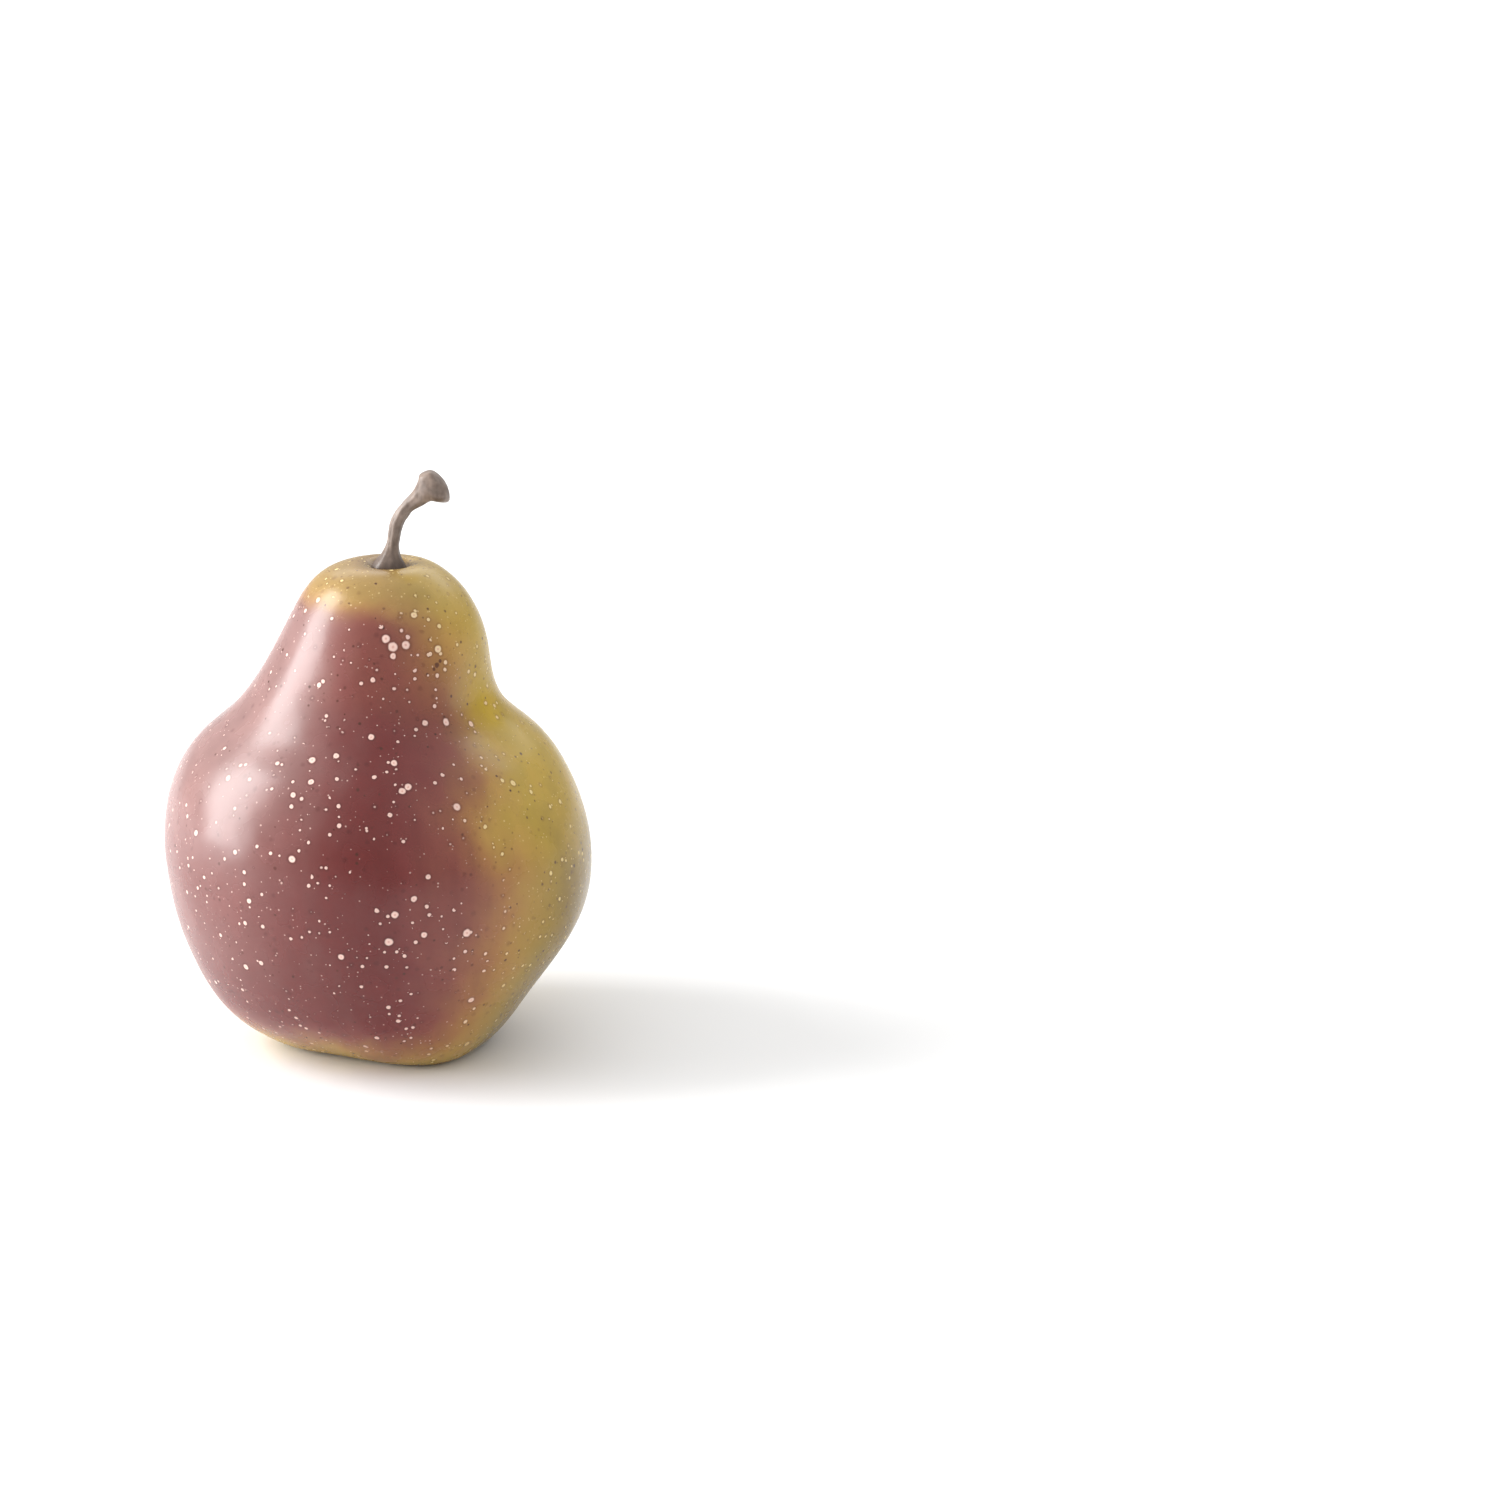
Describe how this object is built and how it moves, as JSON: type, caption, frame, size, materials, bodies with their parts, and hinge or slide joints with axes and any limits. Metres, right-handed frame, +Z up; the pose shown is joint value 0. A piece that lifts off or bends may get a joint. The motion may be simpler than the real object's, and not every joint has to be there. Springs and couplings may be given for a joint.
{
  "type": "pear",
  "caption": "Whole blushed dessert pear with a swollen lower half, a narrow leaning neck and a curved woody stem ending in a knob, standing upright on its eye end.",
  "frame": {"origin": "under the middle of the fruit's widest part, on the surface that the pear stands on", "axes": "+Z up from the eye end to the stem, +X to the side that the stem leans to, -Y towards the blushed front"},
  "size_m": [0.0772, 0.0743, 0.1062],
  "materials": {
    "skin": "waxy natural fruit skin, rose red over yellow green, with pale specks",
    "stem": "smooth dull bark",
    "calyx": "dry, dull and papery"
  },
  "bodies": {
    "root": {"fruit": "skin", "stem": "stem", "calyx": "calyx"}
  },
  "joints": []
}
